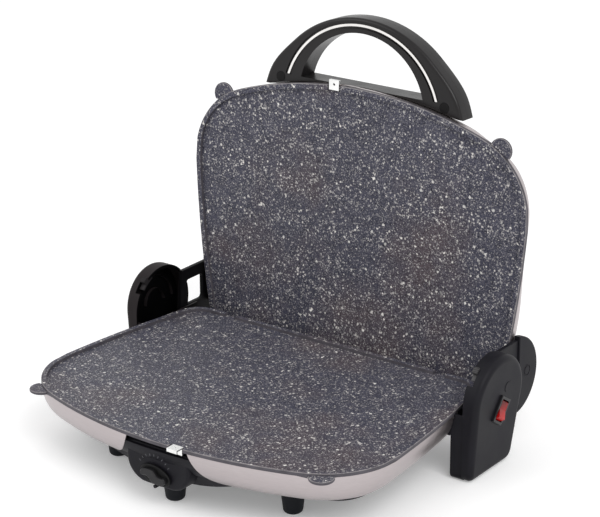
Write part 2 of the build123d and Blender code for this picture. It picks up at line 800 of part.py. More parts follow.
def tower_cap():
    """Round plug over a screw in the cover's outer face."""
    face = Pos(-plug_y, plug_height) * Circle(plug_radius)
    cap = along_x(face, tower_outer - cover_wall / 2 + seat, tower_outer + plug_proud)
    return leaned(fillet(cap.faces().sort_by(Axis.X)[-1].edges(), plug_proud / 2))


def gland():
    """Cord gland at the back of the right tower, without its cord."""
    tube = Cylinder(gland_bore, 2 * gland_bore)
    tube += Pos(0, 0, gland_flange / 2 + seat) * Cylinder(gland_radius, gland_flange)
    return gland_place() * (tube - Cylinder(gland_bore / 2, 4 * gland_bore))


def lug_block(gap=0.0):
    """The lug that ties an arm to the lid, closed, with some play for the hole it passes."""
    size = (arm_inner + arm_plate / 2 - lug_end, lug_front - lug_back, lug_height)
    place = (lug_end + size[0] / 2, -(lug_front + lug_back) / 2, lug_low + lug_height / 2)
    return Pos(*place) * Box(size[0] + 2 * gap, size[1] + 2 * gap, size[2] + 2 * gap)


def disc_centre():
    """Side view place of an arm's disc, lid open; closed, it is the tower head's centre."""
    dy, dz = hinge_y - head_y, head_height - hinge_height
    turn = radians(-open_angle)
    return Pos(dy * cos(turn) - dz * sin(turn) - hinge_y, dy * sin(turn) + dz * cos(turn) + hinge_height)


def disc_half(inset=0.0, open_front=0.0):
    """Side view of the D at an arm's back, its round side drawn in and its flat side moved out."""
    crop = Pos(disc_flat - open_front + disc_radius, 0) * Rectangle(2 * disc_radius, 4 * disc_radius)
    return disc_centre() * (Circle(disc_radius - inset) & crop)


def arm():
    """Lid arm: windowed plate from the hinge boss to the D, with the lug that holds the lid."""
    flat = disc_centre().position.X + disc_flat
    low = disc_centre().position.Y - disc_radius + disc_fillet
    hinge = (-hinge_y, hinge_height)
    front_low = (hinge[0] - arm_boss_radius, hinge[1])
    web = Polyline(front_low, (-arm_front, arm_top), (flat, arm_top), (flat, low), hinge, front_low)
    plate_shape = make_face(web) + at_hinge(arm_boss_radius)
    window = Polyline((-arm_window_front, arm_window_bottom), (-arm_window_front, arm_window_top),
                      (arm_window_back, arm_window_top), (arm_window_back, arm_window_bottom),
                      (-arm_window_front, arm_window_bottom))
    window = make_face(window)
    window = fillet(window.vertices(), arm_window_corner)
    shape = plate_shape - window + disc_half(disc_cap_wall + seat)
    body = along_x(shape, arm_inner, arm_inner + arm_plate)
    body += along_x(at_hinge(arm_boss_radius), arm_inner, tower_seam - arm_boss_gap)
    body -= along_x(at_hinge(hinge_pin_radius + hinge_play), tower_inner, tower_outer)
    cap = disc_plug_place() * Circle(disc_plug_radius + seat)
    body -= along_x(cap, arm_inner + arm_plate / 2, arm_outer)
    return body + opened(lug_block())


def disc_plug_place():
    """Side view place of the screw cap in the D."""
    return disc_centre() * Pos(disc_plug_back, 0)


def disc_cover():
    """D-shaped cap over the arm's back end."""
    cap = along_x(disc_half(), arm_inner, arm_outer)
    cap = fillet(cap.faces().sort_by(Axis.X)[-1].edges(), disc_fillet)
    cap -= along_x(disc_half(disc_cap_wall, overrun), arm_inner - overrun, arm_inner + arm_plate + seat)
    plug = disc_plug_place() * Circle(disc_plug_radius + seat)
    cap -= along_x(plug, arm_inner, arm_outer + overrun)
    return cap - opened(lug_block(seat))


def disc_plug():
    """Ringed cap in the D."""
    plug = disc_plug_place() * Circle(disc_plug_radius)
    plug = along_x(plug, arm_inner + arm_plate / 2 + seat, arm_outer + seat)
    ring = disc_plug_place() * (Circle(disc_plug_radius - arm_cap / 2) - Circle(disc_plug_radius - arm_cap))
    return plug - along_x(ring, arm_outer - arm_cap / 4, arm_outer + overrun)


def upper_shell():
    """Brushed steel lid: a shallow dome with a slot each side for the arms' lugs."""
    dome = bowed_solid(dome_depth, dome_inset, dome_turn, 0)
    dome -= bowed_solid(dome_depth, dome_inset, dome_turn, sheet)
    dome -= plate_slab(sheet, shell_top - seat, shell_top + overrun)
    notch_width = clip_width + 2 * clip_side_gap
    dome -= Pos(clip_x, -plate_depth, shell_top) * Box(notch_width, 2 * rim_width, 2 * clip_lip)
    lug = lug_block(fit)
    return flipped(dome) - lug - other_side(lug) - handle_screw(seat) - other_side(handle_screw(seat))


def seat_ring():
    """Black ring that carries the plate's flange in the shell, open at the front for clip and fascia."""
    top = flange_bottom - seat
    ring = plate_slab(seat_ring_outer, top - seat_ring_height, top)
    ring -= plate_slab(seat_ring_inner, top - 2 * seat_ring_height, top + overrun)
    gap = Box(2 * seat_ring_gap_half, 4 * seat_ring_inner, 4 * seat_ring_height)
    return ring - Pos(0, -plate_depth, top) * gap


def arch(half, foot, top):
    """A half-round shape in front of the lid, from its foot line to its top."""
    curve = ThreePointArc((-half, foot - plate_depth), (0, -top - plate_depth), (half, foot - plate_depth))
    return make_face([curve, Line(curve @ 1, curve @ 0)])


def handle_slab():
    """The whole handle as one slab, rounded, closed pose."""
    base = rim_height + handle_face
    outline = arch(handle_outer_half, handle_foot_depth, handle_outer_top)
    slab = Pos(0, 0, base) * extrude(outline, handle_thickness)
    outer = [f.edges() for f in slab.faces().sort_by(Axis.Z)[:: len(slab.faces()) - 1]]
    slab = fillet(outer[0] + outer[1], handle_rounding)
    hole_face = arch(handle_inner_half, handle_bar_depth, handle_inner_top)
    hole = Pos(0, 0, base - overrun) * extrude(hole_face, handle_thickness + 2 * overrun)
    slab -= hole
    slab -= flipped(bowed_solid(dome_depth, dome_inset, dome_turn, -seat))
    groove = strip_band(strip_width / 2 + seat, strip_thickness + seat)
    slab -= groove
    for x in (-handle_plug_x, handle_plug_x):
        hole = Cylinder(plug_radius + seat, 2 * strip_thickness)
        slab -= Pos(x, handle_plug_y - plate_depth, base) * hole
    return slab - handle_screw(seat) - other_side(handle_screw(seat))


def handle_screw(play=0.0):
    """Screw from inside the lid's dome into a foot of the handle, closed, or its hole."""
    place = Pos(handle_screw_x, handle_screw_y - plate_depth, handle_screw_height)
    return place * Rot(-90, 0, 0) * screw(handle_screw_length, play)


def strip_band(half_width, depth):
    """The inlay's curved band in the handle's face."""
    outer = arch(strip_half + half_width, 0, strip_top + half_width)
    inner = arch(strip_half - half_width, 0, strip_top - half_width)
    base = rim_height + handle_face
    return Pos(0, 0, base) * extrude(outer - inner, depth)


def handle_part(front):
    """The half of the handle that faces the user when the lid is open, or the other one."""
    middle = rim_height + handle_face + handle_thickness / 2
    size = (2 * plate_front_half, 2 * plate_depth, handle_thickness)
    side = -1 if front else 1
    block = Pos(0, -plate_depth, middle + side * (handle_thickness / 2 + seat / 2)) * Box(*size)
    return handle_slab() & block


def handle_cap():
    """Screw cap in a foot of the handle."""
    base = rim_height + handle_face
    cap = Cylinder(plug_radius, strip_thickness)
    place = Pos(handle_plug_x, handle_plug_y - plate_depth, base + strip_thickness / 2 - plug_proud)
    return place * fillet(cap.edges().sort_by(Axis.Z)[0], plug_proud / 2)


def both(shape):
    """A right-hand piece with its mirror image, for small pieces that share one file."""
    return shape + other_side(shape)


def base_pieces():
    """Every piece that stands still."""
    pieces = {"lower_shell": lower_shell(), "base_pan": base_pan(), "lower_plate": plate()}
    pieces["lower_seat_ring"] = seat_ring()
    pieces["lower_heater"] = heater()
    pieces["lower_reflector"] = reflector()
    pieces["control_housing"] = control_housing()
    pieces["thermostat"] = thermostat()
    pieces["indicator_lens"] = lamp()
    pieces["front_left_foot"] = Pos(-foot_x, -foot_front_y, 0) * foot(pan_floor_height - seat)
    pieces["front_right_foot"] = Pos(foot_x, -foot_front_y, 0) * foot(pan_floor_height - seat)
    pieces["front_centre_foot"] = Pos(0, -foot_centre_y, 0) * foot(fascia_bottom - seat)
    pieces["right_tower_cover"] = right_tower_cover()
    pieces["left_tower_cover"] = other_side(tower_cover())
    pieces["right_tower_housing"] = right_tower_housing()
    pieces["left_tower_housing"] = other_side(tower_housing())
    pairs = {"side_bracket": side_bracket(), "hinge_pin": hinge_pin()}
    for name, shape in pairs.items():
        pieces["right_" + name] = shape
        pieces["left_" + name] = other_side(shape)
    pieces["tower_caps"] = both(tower_cap())
    pieces["switch_body"] = switch_body()
    pieces["cord_gland"] = gland()
    pieces["tower_screws"] = tower_screws()
    pieces["terminal_block"] = terminal_block()
    pieces["thermal_fuse"] = thermal_fuse()
    pieces["wiring"] = wiring()
    return pieces


def tower_screws():
    """The four screws that hold the tower covers to their housings."""
    screws = Part()
    for place in tower_screw_places():
        head = along_x(place * Circle(screw_head_radius), tower_inner + seat, tower_inner + screw_head)
        shank = place * Circle(screw_radius)
        screws += head + along_x(shank, tower_inner + seat, tower_seam + screw_length / 2)
    return both(screws)


def terminal_block():
    """Terminal block on the pan's floor, bored along for its wires."""
    bottom = pan_floor_height + pan_wall + seat
    block = Box(terminal_width, terminal_depth, terminal_height)
    block = fillet(block.edges().filter_by(Axis.Z), boss_wall / 2)
    bore = Rot(90, 0, 0) * Cylinder(screw_radius, terminal_depth + overrun)
    for x in (-terminal_width / 4, terminal_width / 4):
        block -= Pos(x, 0, terminal_height / 4) * bore
    return Pos(0, -terminal_y, bottom + terminal_height / 2) * block


def fuse_height():
    """The height of the thermal fuse's middle, under the reflector."""
    return pan_top - seat - fuse_radius


def thermal_fuse():
    """Thermal fuse under the reflector."""
    body = Rot(0, 90, 0) * Cylinder(fuse_radius, fuse_length)
    return Pos(0, -fuse_y, fuse_height()) * fillet(body.edges(), fuse_radius / 2)


def wiring():
    """Two wires from the terminal block, to the thermostat and to the thermal fuse."""
    z, y = wire_height, -terminal_y
    front = y - terminal_depth / 2 - seat
    end = -fascia_front + fascia_wall + knob_disc + thermostat_depth + seat
    rise = [(-wire_side, wire_rise_setback - plate_depth, z)]
    rise.append((-wire_side, wire_thermostat_setback - plate_depth, wire_top))
    forward = FilletPolyline((-wire_side, front, z), *rise, (-wire_side, end, wire_top), radius=wire_bend)
    side = terminal_width / 2 + seat
    up = fuse_height()
    across = FilletPolyline((side, y, z), (wire_turn_x, y, z), (wire_turn_x, -fuse_y, up),
                            (fuse_length / 2 + seat, -fuse_y, up), radius=wire_bend)
    loom = Part()
    for path in (forward, across):
        loom += sweep(Plane(path @ 0, z_dir=path % 0) * Circle(wire_radius), path=path)
    return loom


def lid_pieces():
    """Every piece that swings with the lid, opened."""
    pieces = {"upper_shell": opened(upper_shell())}
    pieces["upper_plate"] = opened(flipped(plate()))
    pieces["upper_seat_ring"] = opened(flipped(seat_ring()))
    pieces["upper_heater"] = opened(flipped(heater()))
    pieces["upper_reflector"] = opened(flipped(reflector()))
    pieces["handle_front"] = opened(handle_part(True))
    pieces["handle_back"] = opened(handle_part(False))
    strip = strip_band(strip_width / 2, strip_thickness)
    pieces["handle_strip"] = opened(strip)
    pieces["handle_caps"] = opened(both(handle_cap()))
    pieces["handle_screws"] = opened(both(handle_screw()))
    pieces["right_arm"] = arm()
    pieces["left_arm"] = other_side(arm())
    pieces["right_arm_cover"] = disc_cover()
    pieces["left_arm_cover"] = other_side(disc_cover())
    pieces["arm_caps"] = both(disc_plug())
    return pieces


def moving_pieces():
    """The knob, the switch, the clips and the release catches."""
    body, shaft = knob()
    pieces = {"thermostat_knob": body, "thermostat_shaft": shaft, "rocker": rocker()}
    pieces["lower_clip"] = clip()
    pieces["upper_clip"] = opened(flipped(clip()))
    pieces["right_catch"] = catch()
    pieces["left_catch"] = other_side(catch())
    return pieces


os.makedirs("parts", exist_ok=True)
everything = {**base_pieces(), **lid_pieces(), **moving_pieces()}
boxes = [shape.bounding_box() for shape in everything.values()]
shift_x = -(min(box.min.X for box in boxes) + max(box.max.X for box in boxes)) / 2
shift_y = -(min(box.min.Y for box in boxes) + max(box.max.Y for box in boxes)) / 2
print("moved by", round(shift_x, 3), "in x and by", round(shift_y, 3), "in y")
for name, shape in everything.items():
    export_step(Pos(shift_x, shift_y, -ground) * shape, "parts/" + name + ".step")
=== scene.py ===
import json
from functools import cached_property
from math import hypot, radians, sqrt

import bmesh
import bpy
from mathutils import Matrix, Vector


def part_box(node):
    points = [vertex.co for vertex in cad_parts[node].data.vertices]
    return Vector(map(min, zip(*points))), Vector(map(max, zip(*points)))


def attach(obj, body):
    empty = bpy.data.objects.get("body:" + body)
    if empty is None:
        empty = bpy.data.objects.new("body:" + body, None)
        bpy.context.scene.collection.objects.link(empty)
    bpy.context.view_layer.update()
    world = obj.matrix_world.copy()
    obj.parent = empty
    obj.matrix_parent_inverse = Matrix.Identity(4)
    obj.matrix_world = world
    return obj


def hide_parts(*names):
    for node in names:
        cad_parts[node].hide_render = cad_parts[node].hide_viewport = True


# Looks for the open sandwich maker. Everything is in metres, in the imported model's frame.
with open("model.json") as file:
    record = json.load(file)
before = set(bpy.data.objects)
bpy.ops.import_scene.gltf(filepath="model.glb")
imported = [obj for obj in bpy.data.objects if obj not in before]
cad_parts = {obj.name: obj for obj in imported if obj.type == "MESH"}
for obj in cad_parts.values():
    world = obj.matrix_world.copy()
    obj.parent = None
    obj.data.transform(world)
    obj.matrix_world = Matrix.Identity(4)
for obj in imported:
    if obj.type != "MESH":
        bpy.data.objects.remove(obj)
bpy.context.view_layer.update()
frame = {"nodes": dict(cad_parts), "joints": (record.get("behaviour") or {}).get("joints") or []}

MM = 0.001
upward = Vector((0.0, 0.0, 1.0))

# The hinge line and the opened lid's turn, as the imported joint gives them
hinge = next(joint for joint in frame["joints"] if joint["name"] == "lid_hinge")
hinge_point = Vector(hinge["pos_m"])
open_turn = Matrix.Rotation(-radians(hinge["range_deg"][1]), 3, "X")

# Camera: place and axes found by fitting the plates' outlines to the photograph
camera_place = Vector((0.93332, -1.23081, 0.73360))
camera_right = Vector((0.80687, 0.59071, -0.00474))
camera_up = Vector((-0.20388, 0.28599, 0.93629))
lens_mm = 130.24
sensor_mm = 36.0

# The plates: outline as the solids have it, across from the middle and forward from the back edge
plate_low, plate_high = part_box("lower_plate")
middle = (plate_low.x + plate_high.x) / 2.0
plate_reach = 228.0 * MM
side_length = 189.5 * MM
back_half = 141.0 * MM
waist_half = 154.5 * MM
front_half = 161.0 * MM
solid_corner = 42.0 * MM

# The plates: rim round the cooking surface, gap between the closed rims, and flange
rim_depth = 2.5 * MM
rim_gap = 0.4 * MM
flange_depth = 5.2 * MM
speckle_reach = 0.5 * MM

# Where the photograph's plates differ: rounder corners, fuller sides, thin flange, ears nearer the hinge
seen_corner = 62.0 * MM
corner_share = (0.35, 0.8)
side_swell = 1.3 * MM
swell_across = (60.0 * MM, 130.0 * MM)
ear_shift = (-0.3 * MM, -3.6 * MM)
ear_root = 0.3 * MM
flange_trim = 2.3 * MM
flange_near = 0.1 * MM

# Steel shells: how they follow the thin flange, and where the lid's one is drawn in behind the plate
shell_lap = 0.5 * MM
skirt_rise = 22.0 * MM
skirt_reach = 5.0 * MM
skirt_left = -20.0 * MM
skirt_front = 190.0 * MM
skirt_across = (-75.0 * MM, -40.0 * MM)
dome_fall = 17.0 * MM
shell_tuck = 3.5 * MM
tuck_side_across = (90.0 * MM, 150.0 * MM)
tuck_side_forward = (60.0 * MM, 120.0 * MM)
tuck_front_across = (98.0 * MM, 125.0 * MM)
tuck_front_forward = (180.0 * MM, 215.0 * MM)

# Room beside the lid's clip, so that it can slide
clip_low, clip_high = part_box("upper_clip")
clip_middle = (clip_low.x + clip_high.x) / 2.0
clip_across = (12.0 * MM, 24.0 * MM)
clip_forward = (200.0 * MM, 212.0 * MM)

# Closed handle: its lower face, its arches as centre and radius, and how much slimmer the photograph has it
handle_face = plate_high.z + 7.0 * MM
handle_share = 0.88
handle_rise_share = 0.955
outer_arch = (-35.6 * MM, 96.9 * MM)
arch_trim = 4.0 * MM
arch_forward = (0.0, 35.0 * MM)
arch_outside = (-9.0 * MM, -3.5 * MM)
inlay_arch = (-22.5 * MM, 73.9 * MM)
inlay_share = 0.62
groove_half = 1.7 * MM
groove_margin = 1.1 * MM
groove_near = 0.25 * MM
groove_over = (-0.2 * MM, 2.0 * MM)
groove_foot = -2.0 * MM

# Groove between a tower's housing and its cover
tower_bevel = 1.5 * MM
tower_near = 0.3 * MM
tower_foot = 1.0 * MM

# Mending of a copied mesh: gap of points to merge, angle of a sharp edge, and cosine of a level face
merge_gap = 0.002 * MM
sharp_degrees = 32.0
level_cosine = 0.999

# Printed marks round the dial, in degrees from the right-hand side
tick_count = 9
tick_start = 35.0
tick_sweep = 110.0
tick_ring = 16.4 * MM
tick_width = 0.5 * MM
tick_length = 1.8 * MM
print_proud = 0.03 * MM

# Studio, in metres and watts: floor, surroundings, and lamps that face the middle of the machine
floor_size = 12.0
floor_shade = 0.93
floor_glow = 0.22
sky_on_machine = 0.75
sky_seen = 1.0
lamp_target = (0.0, 0.0, 0.15)
lamp_size = 1.4
key_place = (1.7, -0.9, 1.9)
key_power = 26.0
fill_place = (-1.4, -1.4, 1.6)
fill_power = 10.0


def opened(point):
    """Where a point of the closed lid goes when the lid is open."""
    return hinge_point + open_turn @ (Vector(point) - hinge_point)


def closed(point):
    """Where a point of the open lid is when the lid is closed."""
    return hinge_point + open_turn.inverted() @ (Vector(point) - hinge_point)


def circle_through(a, b, c):
    """Centre and radius of the circle through three plane points."""
    d = 2.0 * (a[0] * (b[1] - c[1]) + b[0] * (c[1] - a[1]) + c[0] * (a[1] - b[1]))
    squares = [part[0] ** 2 + part[1] ** 2 for part in (a, b, c)]
    x = (squares[0] * (b[1] - c[1]) + squares[1] * (c[1] - a[1]) + squares[2] * (a[1] - b[1])) / d
    y = (squares[0] * (c[0] - b[0]) + squares[1] * (a[0] - c[0]) + squares[2] * (b[0] - a[0])) / d
    return (x, y), hypot(a[0] - x, a[1] - y)


side_curve = circle_through((back_half, 0.0), (waist_half, side_length / 2.0), (front_half, side_length))
front_curve = circle_through((front_half, side_length), (0.0, plate_reach), (-front_half, side_length))


def corner_centre(radius):
    """Centre of the arc that rounds a front corner."""
    (x0, y0), side = side_curve
    (x1, y1), front = front_curve
    side, front = side - radius, front - radius
    gap = hypot(x1 - x0, y1 - y0)
    along = (side ** 2 - front ** 2 + gap ** 2) / (2.0 * gap)
    up = sqrt(side ** 2 - along ** 2)
    x, y = x0 + along * (x1 - x0) / gap, y0 + along * (y1 - y0) / gap
    return x - up * (y1 - y0) / gap, y + up * (x1 - x0) / gap


def reach(start, way, centre, radius):
    """How far a ray from inside a circle runs to it, or None where it misses."""
    x, y = start[0] - centre[0], start[1] - centre[1]
    near = x * way[0] + y * way[1]
    square = near ** 2 - (x * x + y * y - radius ** 2)
    return sqrt(square) - near if square >= 0.0 else None


def outline_reach(start, way, radius):
    """How far a ray runs to the plates' outline with its front corner rounded to a radius."""
    centre = corner_centre(radius)
    hit = reach(start, way, centre, radius)
    if hit is not None:
        x, y = (start[part] + way[part] * hit - centre[part] for part in (0, 1))
        side = (centre[0] - side_curve[0][0], centre[1] - side_curve[0][1])
        front = (centre[0] - front_curve[0][0], centre[1] - front_curve[0][1])
        if side[0] * y - side[1] * x >= 0.0 and x * front[1] - y * front[0] >= 0.0:
            return hit
    return min(reach(start, way, *side_curve), reach(start, way, *front_curve))


def eased(value, low, high):
    """A smooth step from 0 to 1."""
    share = min(1.0, max(0.0, (value - low) / (high - low)))
    return share * share * (3.0 - 2.0 * share)


def rounded_corner(point):
    """Moves a point of a closed plate or shell from the solid's outline to the photograph's rounder one."""
    mirror = 1.0 if point.x >= middle else -1.0
    across, forward = mirror * (point.x - middle), plate_high.y - point.y
    start = corner_centre(seen_corner)
    x, y = across - start[0], forward - start[1]
    far = hypot(x, y)
    if far > 0.0 and x + y > -far:
        way = (x / far, y / far)
        old = outline_reach(start, way, solid_corner)
        new = outline_reach(start, way, seen_corner)
        if far > old + ear_root:
            across, forward = across + ear_shift[0], forward + ear_shift[1]
            return Vector((middle + mirror * across, plate_high.y - forward, point.z))
        scale = 1.0 + (new / old - 1.0) * eased(far / old, *corner_share)
        across, forward = start[0] + x * scale, start[1] + y * scale
    share = min(1.0, max(0.0, forward / side_length))
    across += side_swell * 4.0 * share * (1.0 - share) * eased(across, *swell_across)
    return Vector((middle + mirror * across, plate_high.y - forward, point.z))


def thin_flange(point):
    """A plate's point, rounded and with the flange's edge as thin as in the photograph."""
    moved = rounded_corner(point)
    for face, way in ((plate_high.z - flange_depth, 1.0), (plate_high.z + rim_gap + flange_depth, -1.0)):
        if abs(point.z - face) < flange_near:
            moved.z += way * flange_trim
    return moved


def lower_shell_form(point):
    """The base's steel shell or ring, rounded and drawn up to the thin flange."""
    moved = rounded_corner(point)
    top = plate_high.z - flange_depth - shell_lap
    moved.z += flange_trim * eased(point.z, plate_high.z - skirt_rise, top)
    across, forward = moved.x - middle, plate_high.y - moved.y
    if across < skirt_left and forward > skirt_front:
        moved.x += skirt_reach * eased(across, *skirt_across)
    return moved


def tucked_shell(point):
    """The lid's steel shell, rounded as its plate is and drawn in at its sides and front corners."""
    moved = rounded_corner(point)
    across, forward = moved.x - middle, plate_high.y - moved.y
    outward = 1.0 if across > 0.0 else -1.0
    at_side = eased(abs(across), *tuck_side_across) * eased(forward, *tuck_side_forward)
    at_front = eased(abs(across), *tuck_front_across) * eased(forward, *tuck_front_forward)
    moved.x -= outward * shell_tuck * at_side
    moved.y += shell_tuck * at_front
    return moved


def upper_shell_form(point):
    """The lid's steel shell or ring, rounded, drawn down to the thin flange and in behind the plate.

    At the plate's clip it keeps its own height, so that the clip can slide.
    """
    moved = tucked_shell(point)
    off_clip = eased(abs(point.x - clip_middle), *clip_across)
    behind_clip = 1.0 - eased(plate_high.y - point.y, *clip_forward)
    start = plate_high.z + rim_gap + flange_depth
    drawn = 1.0 - eased(point.z, start + shell_lap, start + dome_fall)
    moved.z -= flange_trim * max(off_clip, behind_clip) * drawn
    return moved


def from_centre(across, forward, centre, radius):
    """A point's direction from an arch's centre and its distance outside the arch."""
    far = hypot(across, forward - centre)
    return across / far, (forward - centre) / far, far - radius


def slimmer_handle(point):
    """Moves a point of the closed handle to the slimmer arch and wider groove in the photograph."""
    across, forward = point.x - middle, plate_high.y - point.y - plate_reach
    over = point.z - handle_face
    right, ahead, outside = from_centre(across, forward, *outer_arch)
    trim = arch_trim * eased(forward, *arch_forward) * eased(outside, *arch_outside)
    across, forward = across - trim * right, forward - trim * ahead
    right, ahead, outside = from_centre(across, forward, *inlay_arch)
    at_groove = abs(abs(outside) - groove_half) < groove_near and forward > groove_foot
    if at_groove and groove_over[0] < over < groove_over[1]:
        widen = groove_margin * (1.0 if outside > 0.0 else -1.0)
        across, forward = across + widen * right, forward + widen * ahead
    y = plate_high.y - plate_reach - handle_rise_share * forward
    return Vector((middle + across, y, point.z - max(0.0, over) * (1.0 - handle_share)))


def slimmer_inlay(point):
    """Moves a point of the closed handle's bright inlay to the narrower band in the photograph."""
    across, forward = point.x - middle, plate_high.y - point.y - plate_reach
    right, ahead, outside = from_centre(across, forward, *inlay_arch)
    slim = (1.0 - inlay_share) * outside
    y = plate_high.y - plate_reach - handle_rise_share * (forward - slim * ahead)
    return Vector((middle + across - slim * right, y, point.z))


def reshape(name, node, body, move):
    """A copy of a CAD node's mesh with its points moved, shown in the node's place."""
    source = frame["nodes"][node]
    on_lid = body == "lid"
    form = bmesh.new()
    form.from_mesh(source.data)
    bmesh.ops.remove_doubles(form, verts=form.verts, dist=merge_gap)
    for vert in form.verts:
        vert.co = opened(move(closed(vert.co))) if on_lid else move(vert.co)
    mesh = bpy.data.meshes.new(name)
    form.to_mesh(mesh)
    form.free()
    mesh.attributes.remove(mesh.attributes["custom_normal"])
    mesh.set_sharp_from_angle(angle=radians(sharp_degrees))
    level = open_turn @ upward if on_lid else upward
    for face in mesh.polygons:
        face.use_smooth = abs(face.normal.dot(level)) < level_cosine
    for material in source.data.materials:
        mesh.materials.append(material)
    piece = bpy.data.objects.new(name, mesh)
    bpy.context.collection.objects.link(piece)
    for slot, given in zip(piece.material_slots, source.material_slots):
        slot.material = given.material
    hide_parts(node)
    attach(piece, body)
    return piece


def shape_plates():
    """Gives plates and shells the photograph's round front corners, and the lid its slim handle."""
    for name, node, body, move in (("lower_cooking_plate", "lower_plate", "base", thin_flange),
                                   ("lower_steel_shell", "lower_shell", "base", lower_shell_form),
                                   ("lower_ring", "lower_seat_ring", "base", lower_shell_form),
                                   ("upper_cooking_plate", "upper_plate", "lid", thin_flange),
                                   ("upper_steel_shell", "upper_shell", "lid", upper_shell_form),
                                   ("upper_ring", "upper_seat_ring", "lid", upper_shell_form),
                                   ("handle_front_half", "handle_front", "lid", slimmer_handle),
                                   ("handle_back_half", "handle_back", "lid", slimmer_handle),
                                   ("handle_inlay", "handle_strip", "lid", slimmer_inlay)):
        reshape(name, node, body, move)


def bevel_towers():
    """Draws each tower housing's outer edge in along the seam, for a groove between it and its cover."""
    for side in ("right", "left"):
        node = side + "_tower_housing"
        piece = reshape(side + "_housing", node, "base", lambda point: point)
        low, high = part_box(node)
        seam = high.x if side == "right" else low.x
        for vert in piece.data.vertices:
            at_seam = abs(vert.co.x - seam) < tower_near and vert.co.z > low.z + tower_foot
            if at_seam and abs(vert.co.y - high.y) < tower_near:
                vert.co.y -= tower_bevel
            elif at_seam and abs(vert.co.y - low.y) < tower_near:
                vert.co.y += tower_bevel


class Nodes:
    """Adds shader nodes to one tree."""

    def __init__(self, tree):
        self.tree = tree

    @cached_property
    def coordinates(self):
        """What the tree's Texture Coordinate node puts out."""
        return self.add("ShaderNodeTexCoord").outputs

    def add(self, kind, inputs=None, **settings):
        """Adds a node, with its settings and with values or links for its inputs."""
        node = self.tree.nodes.new(kind)
        for name, value in settings.items():
            setattr(node, name, value)
        for key, value in (inputs or {}).items():
            self.put(node.inputs[key], value)
        return node

    def put(self, socket, value):
        """Links another node's output to a socket, or sets its value."""
        if isinstance(value, bpy.types.NodeSocket):
            self.tree.links.new(value, socket)
        else:
            socket.default_value = value

    def part(self, vector, axis):
        """One coordinate of a vector."""
        return self.add("ShaderNodeSeparateXYZ", {"Vector": vector}).outputs[axis]

    def vector(self, operation, first, second):
        """Vector arithmetic."""
        node = self.add("ShaderNodeVectorMath", {0: first, 1: second}, operation=operation)
        return node.outputs["Vector"]

    def dot(self, first, second):
        """Dot product of two vectors."""
        node = self.add("ShaderNodeVectorMath", {0: first, 1: second}, operation="DOT_PRODUCT")
        return node.outputs["Value"]

    def math(self, operation, a, b=0.0):
        """Arithmetic on one or two values."""
        return self.add("ShaderNodeMath", {0: a, 1: b}, operation=operation).outputs[0]

    def stretched(self, x, y, z):
        """Object coordinates, scaled apart along each axis."""
        inputs = {"Vector": self.coordinates["Object"], "Scale": (x, y, z)}
        return self.add("ShaderNodeMapping", inputs).outputs["Vector"]

    def noise(self, scale, detail=2.0, rough=0.5, vector=None):
        """Smooth noise from 0 to 1."""
        place = vector or self.coordinates["Object"]
        inputs = {"Vector": place, "Scale": scale, "Detail": detail, "Roughness": rough}
        return self.add("ShaderNodeTexNoise", inputs).outputs["Fac"]

    def span(self, value, low, high, start=0.0, end=1.0):
        """Maps a value's range onto another, clamped."""
        inputs = {"Value": value, "From Min": low, "From Max": high, "To Min": start, "To Max": end}
        return self.add("ShaderNodeMapRange", inputs).outputs["Result"]

    def spread(self, noise, start=0.0, end=1.0):
        """Maps the range that smooth noise mostly has onto another, clamped."""
        return self.span(noise, 0.3, 0.7, start, end)

    def mix(self, factor, first, second):
        """Blends two colours."""
        node = self.add("ShaderNodeMix", data_type="RGBA")
        self.put(node.inputs["Factor"], factor)
        self.put(node.inputs[6], first)
        self.put(node.inputs[7], second)
        return node.outputs[2]

    def shaded(self, colour, share):
        """A colour times a value."""
        inputs = {"Vector": colour, "Scale": share}
        return self.add("ShaderNodeVectorMath", inputs, operation="SCALE").outputs["Vector"]

    def bump(self, height, depth, strength):
        """Normal of a surface with a height of 0 to 1 over a depth in metres."""
        inputs = {"Height": height, "Distance": depth, "Strength": strength}
        return self.add("ShaderNodeBump", inputs).outputs["Normal"]

    def flecks(self, scale, share, radius, edge=0.12, warp=0.9):
        """Ragged flecks in some cells of a grid of random points: their mask and a random value each."""
        place = self.coordinates["Object"]
        drift = self.add("ShaderNodeTexNoise", {"Vector": place, "Scale": 2.3 * scale, "Detail": 1.0})
        offset = self.vector("MULTIPLY", drift.outputs["Color"], (warp / scale,) * 3)
        moved = self.vector("ADD", place, offset)
        cells = self.add("ShaderNodeTexVoronoi", {"Vector": moved, "Scale": scale})
        parts = self.add("ShaderNodeSeparateColor", {"Color": cells.outputs["Color"]}).outputs
        size = self.math("MULTIPLY", parts["Green"], radius)
        near = self.math("SUBTRACT", size, cells.outputs["Distance"])
        disc = self.span(near, -edge / 2, edge / 2)
        chosen = self.math("LESS_THAN", parts["Red"], share)
        return self.math("MULTIPLY", disc, chosen), parts["Blue"]

    def seen(self):
        """1 on the camera's rays and what they meet through gloss or glass, and 0 otherwise."""
        path = self.add("ShaderNodeLightPath").outputs
        through = self.math("MAXIMUM", path["Is Glossy Ray"], path["Is Transmission Ray"])
        return self.math("MAXIMUM", path["Is Camera Ray"], through)


